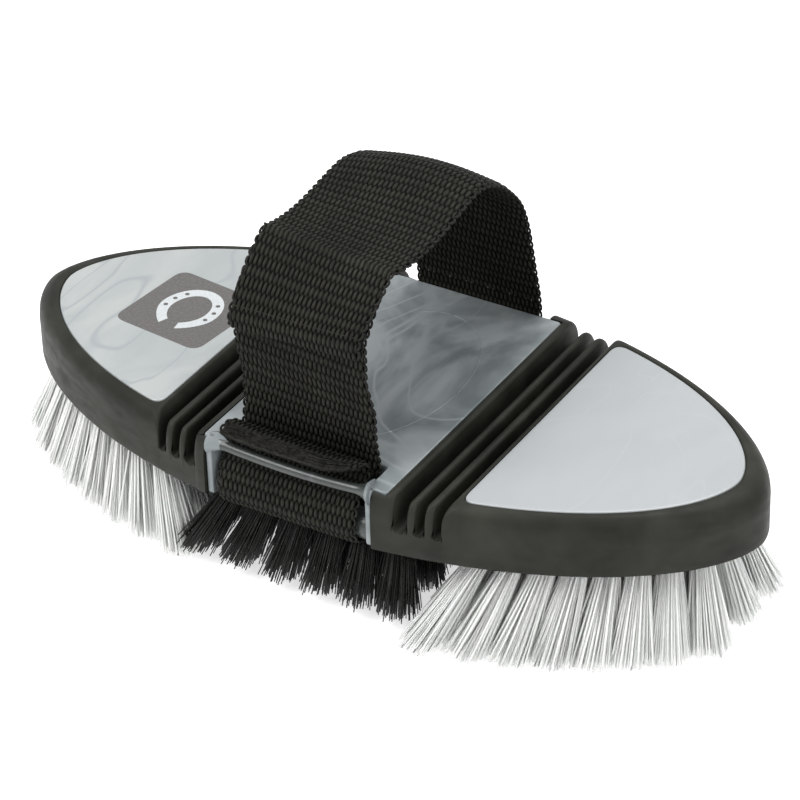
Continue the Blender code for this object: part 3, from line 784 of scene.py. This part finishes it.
def bellows_stations():
    """(x, top height limit, inset of the rounded rib edge, top drop) along the bellows."""
    stations = [(x, PLATE_TOP, 0.0, 0.0) for x in (TONGUE_START, (TONGUE_START + BELLOWS_START) / 2)]
    edges = [BELLOWS_START] + [middle + s * half for middle, half in GROOVES for s in (-1, 1)]
    ribs = list(zip(edges[::2], edges[1::2]))
    for number, (start, end) in enumerate(ribs):
        drop = RIB_DROP if number else 0.0
        near = RIB_ROUND if number else 0.0
        marks = [start + near * (1 - math.cos(a)) for a in quarter_turn(4)[:5 if number else 1]]
        marks += [end - RIB_ROUND * (1 - math.cos(a)) for a in quarter_turn(4)[::-1]]
        for x in marks:
            edge = min(end - x, x - start if number else RIB_ROUND)
            gap = max(0.0, RIB_ROUND - edge)
            inset = RIB_ROUND - math.sqrt(max(0.0, RIB_ROUND ** 2 - gap ** 2))
            stations.append((x, PLATE_TOP, inset, drop))
        middle, half = GROOVES[number]
        for k in range(13):
            x = middle - half * math.cos(math.pi * k / 12)
            floor = GROOVE_FLOOR + half * (1 - math.sin(math.pi * k / 12))
            if x < RIM_START - 0.1 * MM:
                stations.append((x, floor, 0.0, 0.0))
    stations.append((RIM_START, floor, 0.0, 0.0))
    return stations


def bellows_wall(half, top, inset, shoulder):
    """(distance from the middle, z) points from the lower corner up and over one shoulder."""
    wall = [(half - 0.7 * MM, RUBBER_LOW), (half - 0.2 * MM, RUBBER_LOW + 0.2 * MM),
            (half, RUBBER_LOW + 0.8 * MM), (half, 28 * MM), (half, GROOVE_FLOOR + 0.2 * MM),
            (half - inset * 0.6, GROOVE_FLOOR + 0.8 * MM), (half - inset, GROOVE_FLOOR + 1.4 * MM)]
    wall += [(half - shoulder + (shoulder - inset) * math.cos(a),
            top - SHOULDER_DEPTH + (SHOULDER_DEPTH - inset) * math.sin(a)) for a in quarter_turn(10)]
    return wall + [((half - shoulder) * share, top - inset) for share in (0.75, 0.5, 0.25)]


def bellows_ring(x, height, inset, drop, side):
    """Cross-section of the bellows at x, from one lower corner over the top to the other."""
    half = oval_half_width(OUTER_OVAL, x)
    top = PLATE_TOP - drop
    rear = bellows_wall(half, top, inset, REAR_SHOULDER)
    front = bellows_wall(half, top, inset, FRONT_SHOULDER)
    ring = rear + [(0.0, top - inset)] + [(-y, z) for y, z in front[::-1]]
    return [(side * x, y, min(z, height)) for y, z in ring]


def bellows(label, side):
    bm = bmesh.new()
    add_loft(bm, [bellows_ring(*station, side) for station in bellows_stations()])
    bmesh.ops.remove_doubles(bm, verts=bm.verts, dist=0.01 * MM)
    obj = bm_object(label + "_rubber_bellows", bm, RUBBER)
    inner, far = sorted((side * (TONGUE_START - 5 * MM), side * (BELLOWS_START - GAP / 2)))
    core = BASE_HALF_WIDTH + GAP
    lip = LIP_HALF_WIDTH + GAP
    lip_low = PLATE_TOP - LIP_THICKNESS - GAP
    web = sorted((side * (BELLOWS_START + 2.5 * MM), side * (RIM_START - 2.8 * MM)))
    rear = REAR_EDGE + GAP
    tools = [box_tool((inner, -core, 0), (far, rear, PLATE_TOP - 1 * MM)),
            box_tool((inner, -lip, lip_low), (far, rear, PLATE_TOP + 10 * MM)),
            box_tool((web[0], 2 * MM - core, 0), (web[1], core - 2 * MM, RUBBER_LOW + WEB_RECESS))]
    combined(obj, tools, "DIFFERENCE")
    pull_left_cheek(obj)
    shade(obj, 50)
    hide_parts(label + "_bellows")
    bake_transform(obj)


# Bristles

def tuft_lines(root, tip, shape, rng):
    """Filament centre lines of one tuft: straight out of the hole, then flaring."""
    tip_z, spread, stray, ragged = shape
    count = FILAMENTS
    place = np.sqrt((np.arange(count) + 0.5) / count) * TUFT_RADIUS
    turn = np.arange(count) * 2.39996 + rng.uniform(0, 6.28)
    offset = np.stack([place * np.cos(turn), place * np.sin(turn)], axis=1)
    offset += rng.normal(0, 0.05 * MM, offset.shape)
    start = np.column_stack([root[0] + offset[:, 0], root[1] + offset[:, 1], np.full(count, CORE_LOW)])
    reach = offset * spread * rng.uniform(0.9, 1.05, (count, 1)) + rng.normal(0, stray, offset.shape)
    wild = rng.random(count) < 0.03
    reach[wild] *= 1.35
    end_z = tip_z + np.abs(rng.normal(0, ragged, count))
    end_z += 14.0 * (reach ** 2).sum(axis=1)
    end = np.column_stack([tip[0] + reach[:, 0], tip[1] + reach[:, 1], end_z])
    bend = start + (end - start) * 0.33
    bend[:, :2] = start[:, :2] + (end[:, :2] - start[:, :2]) * rng.uniform(0.24, 0.36, (count, 1))
    lines = [start + np.array([0, 0, TUFT_DEPTH * 0.6])]
    lines += [bent(start, bend, end, t) for t in (0.0, 0.22, 0.46, 0.72, 1.0)]
    return np.stack(lines, axis=1)


def bristle_row(name, body, node, tufts, shape, material, seed, radius):
    rng = np.random.default_rng(seed)
    lines = np.concatenate([tuft_lines(root, tip, shape, rng) for root, tip in tufts])
    radii = np.full(lines.shape[:2], radius) * rng.uniform(0.9, 1.1, (len(lines), 1))
    radii[:, -1] *= 0.85
    obj = link(name, tube_mesh(lines, radii, 4), material)
    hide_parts(node)
    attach(obj, body)


def all_bristles():
    for label, side in (("right", 1), ("left", -1)):
        for number, (x, tip_x, roots) in enumerate(wing_rows(), 1):
            tufts = []
            edge = max(roots)
            for y in roots:
                most = WHITE_FRONT_LEAN if side > 0 and y < 0 else WHITE_LEAN
                lean = most * (edge / TUFT_REACH) ** 0.5 * math.copysign((abs(y) / edge) ** 1.6, y)
                tufts.append(((side * x, y), (side * tip_x, y + lean)))
            bristle_row(f"{label}_white_row_{number}", label + "_wing", f"{label}_bristles_{number}", tufts,
                    WHITE_SHAPE, WHITE, 40 * number + side, WHITE_RADIUS)
    for number, x in enumerate(centre_row_xs(), 1):
        fan = 0.42 if x < 0 else 0.22
        tufts = []
        for y in tuft_roots(TUFT_REACH):
            most = BLACK_FRONT_LEAN if y < 0 else BLACK_LEAN
            lean = most * math.copysign((abs(y) / TUFT_REACH) ** 1.5, y)
            tufts.append(((x, y), (x * (1 + fan), y + lean)))
        bristle_row(f"centre_black_row_{number}", "centre", f"centre_bristles_{number}", tufts,
                BLACK_SHAPE, BLACK, 900 + number, BLACK_RADIUS)


# Webbing

def twist(points):
    """The worn strap's set: its left edge lies further back in front and higher at the back."""
    x, y, z = points[..., 0], points[..., 1], points[..., 2]
    front, low, high = fade(-y, TWIST_FRONT), fade(z, TWIST_LOW), fade(z, TWIST_HIGH)
    back = np.exp(-((y - 15 * MM) / (14 * MM)) ** 2) * high
    moved = points.copy()
    moved[..., 1] = y - x * front * (0.068 * low + 0.055 * high)
    crown = CROWN_RISE - CROWN_CURVE * (x - CROWN_MIDDLE) ** 2
    wave = WAVE_RISE * high * np.sin(x * 130 + y * 45) * (1 - front * 0.5)
    moved[..., 2] = z + crown * back + wave
    return moved


class Band:
    """A webbing strip across X along a (y, z) path; lift is along its left-hand normal."""

    def __init__(self, path, sign=1.0, curl=False, worn=False):
        self.curl = curl
        self.worn = worn
        spans = np.cumsum([0.0] + [(b - a).length for a, b in zip(path, path[1:])])
        self.length = float(spans[-1])
        self.marks = np.linspace(0, self.length, max(8, round(self.length / (0.25 * MM))))
        points = np.column_stack([np.interp(self.marks, spans, [p[k] for p in path]) for k in (0, 1)])
        for _ in range(3):
            points[1:-1] = (points[:-2] + 2 * points[1:-1] + points[2:]) / 4
        along = np.gradient(points, axis=0)
        along /= np.linalg.norm(along, axis=1, keepdims=True)
        self.points = points
        self.normals = sign * np.column_stack([-along[:, 1], along[:, 0]])
        self.crease = self.marks[np.argmin(np.hypot(points[:, 0] - CREASE[0], points[:, 1] - CREASE[1]))]

    def place(self, x, s, lift):
        """3-D points for arrays of x, length along the strip and lift off its middle."""
        x, s, lift = np.broadcast_arrays(x, s, lift)
        py, pz, ny, nz = (np.interp(s, self.marks, column) for column in
                (self.points[:, 0], self.points[:, 1], self.normals[:, 0], self.normals[:, 1]))
        if self.curl:
            free = np.clip(1 - s / CURL_LENGTH, 0, 1) ** 1.5
            right, left = fade(x, CURL_ACROSS) ** 1.6, fade(-x, CURL_ACROSS) ** 2
            py = py + CURL_RISE * free * right * 1.2
            pz = pz + CURL_RISE * free * (right + 0.4 * left)
            squeezed = fade(-pz, ROLL_LOW) * fade(-py, ROLL_OUTER)
            x = x - squeezed * ROLL_SHIFT / 2 - ROLL_SHIFT * fade(-py, ROLL_FRONT)
            x = x - TAB_SHIFT * fade(pz, TAB_UPPER)
        if self.worn:
            lift = lift + CREASE_RISE * np.exp(-((s - self.crease) / CREASE_WIDTH) ** 2)
            panel = fade(-pz, HEM_BELOW) * fade(-py, HEM_FRONT)
            pz = pz + panel * (HEM_SKEW * x - HEM_DROP)
            x = x - panel * HEM_SHIFT
            pinch = fade(-pz, PINCH_BELOW) * fade(py, PINCH_REAR)
            x = x + pinch * REAR_PINCH * (STRAP_HALF_WIDTH - x)
        return twist(np.stack([x, py + ny * lift, pz + nz * lift], axis=-1))


def weave_height(x, s, shift):
    """0 in the valleys and 1 on the crests of long oval grains, each row half a column out of step."""
    column = (x / (2 * WOVEN_HALF_WIDTH) + 0.5) * WEAVE_COLUMNS
    row = s / WEAVE_ROW
    height = np.zeros(np.broadcast(x, s).shape)
    for step in (-1, 0, 1):
        number = np.floor(row) + step
        v = 2 * (row - number - 0.5) / GRAIN_LENGTH
        u = column + 0.5 * np.mod(number + shift, 2)
        u = 2 * (u - np.floor(u)) - 1
        height = np.maximum(height, np.sqrt(np.clip(1 - u * u - np.abs(v) ** 2.4, 0, 1)))
    return height


def grid_faces(rows, columns, start, flip):
    index = start + np.arange(rows * columns).reshape(rows, columns)
    quads = np.stack([index[:-1, :-1], index[:-1, 1:], index[1:, 1:], index[1:, :-1]], axis=-1)
    quads = quads.reshape(-1, 4)
    return (quads[:, ::-1] if flip else quads), index


def sheet_mesh(band, xs, marks, upper, lower, crest=None):
    """Closed mesh of a strip between two lifts given on the (marks, xs) grid, with a UV map in metres.

    crest holds the height of the weave on both sides, for the painted shade in the material's gaps between
    the yarns.
    """
    grid_s, grid_x = np.meshgrid(marks, xs, indexing="ij")
    points = np.concatenate([band.place(grid_x, grid_s, lift).reshape(-1, 3) for lift in (upper, lower)])
    rows, columns = grid_x.shape
    top, a = grid_faces(rows, columns, 0, False)
    bottom, b = grid_faces(rows, columns, rows * columns, True)
    faces = [top, bottom]
    for edge in (np.s_[0], np.s_[:, -1], np.s_[-1, ::-1], np.s_[::-1, 0]):
        edge_a, edge_b = a[edge], b[edge]
        faces.append(np.stack([edge_a[1:], edge_a[:-1], edge_b[:-1], edge_b[1:]], axis=-1))
    mesh = bpy.data.meshes.new("sheet")
    mesh.from_pydata(points.tolist(), [], np.concatenate(faces).tolist())
    uv = np.tile(np.stack([grid_x.ravel(), grid_s.ravel()], axis=1), (2, 1))
    corner = np.empty(len(mesh.loops), np.int32)
    mesh.loops.foreach_get("vertex_index", corner)
    mesh.uv_layers.new(name="weave").data.foreach_set("uv", uv[corner].ravel().astype(np.float32))
    if crest is not None:
        attribute = mesh.attributes.new("crest", "FLOAT", "POINT")
        attribute.data.foreach_set("value", crest.ravel().astype(np.float32))
    mesh.shade_smooth()
    bm = bmesh.new()
    bm.from_mesh(mesh)
    bmesh.ops.recalc_face_normals(bm, faces=bm.faces)
    bm.to_mesh(mesh)
    bm.free()
    return mesh


def woven_mesh(band):
    rows = round(band.length / WEAVE_ROW * WEAVE_PER_ROW)
    marks = np.linspace(0, band.length, rows + 1)
    xs = np.linspace(-WOVEN_HALF_WIDTH, WOVEN_HALF_WIDTH, WEAVE_COLUMNS * WEAVE_PER_COLUMN + 1)
    grid_s, grid_x = np.meshgrid(marks, xs, indexing="ij")
    edge = fade(np.abs(grid_x), (WOVEN_HALF_WIDTH - 0.8 * MM, 0.8 * MM))
    thin = 1 - 0.55 * edge ** 2
    low = WEBBING / 2 - 0.6 * WEAVE_RELIEF
    crest = np.stack([weave_height(grid_x, grid_s, side) for side in (0, 1)])
    upper = (low + WEAVE_RELIEF * crest[0]) * thin
    lower = -(low + WEAVE_RELIEF * crest[1]) * thin
    return sheet_mesh(band, xs, marks, upper, lower, crest)


def selvedge_mesh(band):
    """Small thread loops along both edges, one for each row of the weave."""
    lines = []
    turns = np.linspace(-0.15, math.pi + 0.15, 9)
    for k in range(1, int(band.length / WEAVE_ROW)):
        for side in (-1, 1):
            s = (k + (0.25 if side > 0 else -0.25)) * WEAVE_ROW + 1.05 * MM * np.cos(turns)
            x = side * (WOVEN_HALF_WIDTH - 0.2 * MM + 0.85 * MM * np.sin(turns))
            lines.append(band.place(x, s, 0.12 * MM * np.cos(turns)))
    return tube_mesh(lines, SELVEDGE_RADIUS, 6)


def stitch_mesh(band, marks, length, lift, pitch, radius, along=True, reach=0.92):
    """Rows of short sunken thread stitches at the given marks."""
    lines = []
    share = np.linspace(-1, 1, 7)
    arch = lift + 0.12 * MM - 0.3 * MM * share ** 2 * np.sign(lift)
    for mark in marks:
        for x in np.arange(-reach * WOVEN_HALF_WIDTH, reach * WOVEN_HALF_WIDTH, pitch):
            offset = share * length / 2
            lines.append(band.place(x + (0 if along else offset), mark + (offset if along else 0), arch))
    return tube_mesh(lines, radius, 6)


def hand_strap():
    arch = smooth_path(in_metres(STRAP_ARCH))
    centre = (ANCHOR_WIDTH, ANCHOR_HEIGHT)
    rear = smooth_path(in_metres(STRAP_REAR)) + arc_path(centre, LOOP_RADIUS, 10, -170)
    rear += smooth_path(in_metres(STRAP_REAR_END))
    down = (arch[0] - arch[1]).normalized()
    across = Vector((-down.y, down.x))
    middle = arch[0] + across * HEM_GAP / 2
    fold = [middle - across * p.x + down * p.y for p in arc_path((0, 0), HEM_GAP / 2, 0, 180, 8)]
    under = path_part(offset_path(arch, -HEM_GAP), 0.0, HEM_LENGTH)
    band = Band(rear[::-1] + arch[::-1] + fold[1:-1] + under, -1.0, worn=True)
    obj = link("hand_strap", woven_mesh(band), YARN)
    edge = link("hand_strap_selvedge", selvedge_mesh(band), THREAD)
    fold_mark = band.length - HEM_LENGTH - 2.5 * MM
    hem = link("hem_stitches", stitch_mesh(band, [fold_mark - 4.6 * MM], 1.9 * MM,
            WEBBING / 2, 2.2 * MM, 0.16 * MM, along=False), THREAD)
    rear_length = sum((b - a).length for a, b in zip(rear, rear[1:]))
    seam = link("rear_seam_stitches", stitch_mesh(band, [rear_length + 2.6 * MM],
            1.1 * MM, -WEBBING / 2, 1.745 * MM, 0.2 * MM), SEAM_THREAD)
    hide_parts("strap_long", "strap_rear_loop")
    for piece in (obj, edge, hem, seam):
        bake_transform(piece)
    return arch


def front_tab(arch):
    upper = path_part(offset_path(arch, -TAB_OFFSET), *TAB_OVERLAP)
    front = smooth_path(in_metres(TAB_FRONT) + [tuple(upper[0])])[:-1]
    loop = arc_path((-ANCHOR_WIDTH, ANCHOR_HEIGHT), LOOP_RADIUS, 175, 365)
    tail = smooth_path(in_metres(TAB_TAIL))
    band = Band(tail[::-1] + loop + front + upper, curl=True)
    obj = link("strap_tab_webbing", woven_mesh(band), YARN)
    edge = link("strap_tab_selvedge", selvedge_mesh(band), THREAD)
    frayed = link("strap_tab_frayed_end", frayed_mesh(band), CUT_FIBRE)
    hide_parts("strap_tab")
    for piece in (obj, edge, frayed):
        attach(piece, "centre")


def frayed_mesh(band):
    """Unravelled threads at the cut end: long ones across it and short ones sticking out."""
    rng = np.random.default_rng(77)
    share = np.linspace(-1, 1, 12)
    lines = []
    for _ in range(300):
        half = rng.uniform(4, 15) * MM
        x = np.clip(rng.uniform(-12, 9) * MM + half * share, -18.6 * MM, 17.5 * MM)
        s = rng.uniform(-0.6, 2.9) * MM + rng.normal(0, 0.25 * MM) * share
        s = s + 0.3 * MM * np.sin(share * rng.uniform(2, 6) + rng.uniform(0, 6))
        lift = WEBBING / 2 + rng.uniform(-0.2, 0.55) * MM
        lift = lift + 0.25 * MM * np.sin(share * 3 + rng.uniform(0, 6))
        lines.append(band.place(x, s, lift))
    for _ in range(420):
        x = rng.uniform(-WOVEN_HALF_WIDTH, WOVEN_HALF_WIDTH) + rng.normal(0, 0.5 * MM) * (share + 1) / 2
        s = 0.6 * MM - (share + 1) / 2 * rng.uniform(0.5, 1.9) * MM
        lift = rng.uniform(-0.5, 0.5) * MM + (share + 1) ** 2 * rng.normal(0, 0.2 * MM)
        lines.append(band.place(x, s, lift))
    return tube_mesh(lines, CUT_FIBRE_RADIUS, 4)


def pile_patch(name, node, body, arch, offset, seed):
    """Hook or loop patch with a short pile."""
    band = Band(path_part(offset_path(arch, -offset), *PATCH_OVERLAP))
    xs = np.linspace(-PATCH_HALF_WIDTH, PATCH_HALF_WIDTH, 145) - TAB_SHIFT
    marks = np.linspace(0, band.length, 35)
    rng = np.random.default_rng(seed)
    pile = rng.uniform(-0.12, 0.12, (2, len(marks), len(xs))) * MM
    base = PATCH_THICKNESS / 2
    mesh = sheet_mesh(band, xs, marks, base + pile[0], -base + pile[1])
    obj = link(name, mesh, PILE)
    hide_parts(node)
    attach(obj, body)


# Badge

# The horseshoe's ovals are (half width, half height, pull of the heels), in millimetres
BADGE_CENTRE = Vector((-60.9 * MM, 0.4 * MM))
BADGE_SIDE = 27.8 * MM
BADGE_TURN = math.radians(-6.6)
INK_THICKNESS = 0.06 * MM
SHOE_OUTER = (8.4, 10.0, 0.30)
SHOE_INNER = (5.2, 7.0, 0.18)
NAIL_OVAL = (6.75 * MM, 8.5 * MM)
NAIL_RADIUS = 0.62 * MM


def badge_place(u, v, h):
    x = BADGE_CENTRE.x + u * math.cos(BADGE_TURN) - v * math.sin(BADGE_TURN)
    y = BADGE_CENTRE.y + u * math.sin(BADGE_TURN) + v * math.cos(BADGE_TURN)
    return (x, y, h)


def badge():
    """Printed square badge with a generic horseshoe."""
    half = BADGE_SIDE / 2
    outline = rounded([(-half, -half), (half, -half), (half, half), (-half, half)], 3.6 * MM, 10)
    ground = slab("badge_ground", outline, PLATE_TOP - INK_THICKNESS, PLATE_TOP + INK_THICKNESS,
            INK_THICKNESS / 2, INK, badge_place)
    level = PLATE_TOP + INK_THICKNESS
    outer, inner = [], []
    for k in range(49):
        angle = math.radians(-66 + 312 * k / 48)
        heel = max(0.0, -math.sin(angle)) ** 2
        for ring, (wide, tall, pull) in ((outer, SHOE_OUTER), (inner, SHOE_INNER)):
            ring.append(Vector((wide * (1 - pull * heel) * math.cos(angle), tall * math.sin(angle))) * MM)
    shoe = loft_object("badge_horseshoe", [[[badge_place(p.x, p.y, z) for p in outer + inner[::-1]]
            for z in (level - INK_THICKNESS / 2, level + INK_THICKNESS / 2)]], PALE_INK)
    angles = [math.radians(90 + 25 * k) for k in (-4, -3, -2, 2, 3, 4)]
    holes = [circle(NAIL_OVAL[0] * math.cos(a), NAIL_OVAL[1] * math.sin(a), NAIL_RADIUS) for a in angles]
    nails = loft_object("badge_nail_holes", [[[badge_place(u, v, z) for u, v in ring]
            for z in (level, level + INK_THICKNESS)] for ring in holes], INK)
    for piece in (ground, shoe, nails):
        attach(piece, "left_wing")


# Stage

def area_light(name, location, size, energy):
    light = bpy.data.lights.new(name, "AREA")
    light.shape = "RECTANGLE"
    light.size, light.size_y = size
    light.energy = energy
    obj = in_scene(name, light)
    obj.location = location
    obj.rotation_euler = (LIGHT_AIM - Vector(location)).to_track_quat("-Z", "Y").to_euler()


def stage():
    bm = bmesh.new()
    bmesh.ops.create_grid(bm, x_segments=8, y_segments=8, size=3.0)
    floor = bm_object("floor", bm, floor_paper())
    floor.location.z = BRISTLE_TIPS - 0.1 * MM
    world = bpy.data.worlds.new("studio")
    world.use_nodes = True
    background = world.node_tree.nodes["Background"]
    background.inputs["Color"].default_value = (0.99, 0.995, 1.0, 1)
    background.inputs["Strength"].default_value = 0.72
    bpy.context.scene.world = world
    bpy.context.scene.view_settings.view_transform = "Standard"
    area_light("key", (-0.45, -0.55, 0.95), (0.7, 0.7), 10)
    area_light("top", (0.15, 0.35, 1.1), (0.9, 0.6), 9)
    area_light("side", (0.9, -0.35, 0.45), (0.5, 0.6), 3)


def camera():
    azimuth, elevation, roll = (math.radians(a) for a in CAMERA_ANGLES)
    back = Vector((math.sin(azimuth) * math.cos(elevation), -math.cos(azimuth) * math.cos(elevation),
            math.sin(elevation)))
    right = Vector((math.cos(azimuth), math.sin(azimuth), 0))
    up = back.cross(right)
    right, up = (right * math.cos(roll) + up * math.sin(roll), up * math.cos(roll) - right * math.sin(roll))
    data = bpy.data.cameras.new("camera")
    data.sensor_width = 36
    data.lens = CAMERA_LENS
    data.clip_end = 20
    obj = in_scene("camera", data)
    matrix = Matrix((right, up, back)).transposed().to_4x4()
    matrix.translation = CAMERA_TARGET + back * CAMERA_DISTANCE
    obj.matrix_world = matrix
    bpy.context.scene.camera = obj


def build():
    stage()
    camera()
    centre_section()
    oval_line()
    for label, side, material in (("right", 1, SILVER_RIGHT), ("left", -1, SILVER_LEFT)):
        wing_core(label, side, material)
        wing_rim(label, side)
        bellows(label, side)
    all_bristles()
    arch = hand_strap()
    front_tab(arch)
    pile_patch("strap_hook_patch", "strap_patch", "strap", arch, STRAP_PATCH_OFFSET, 5)
    pile_patch("tab_loop_patch", "tab_patch", "centre", arch, TAB_PATCH_OFFSET, 6)
    badge()


build()
bpy.context.view_layer.update()
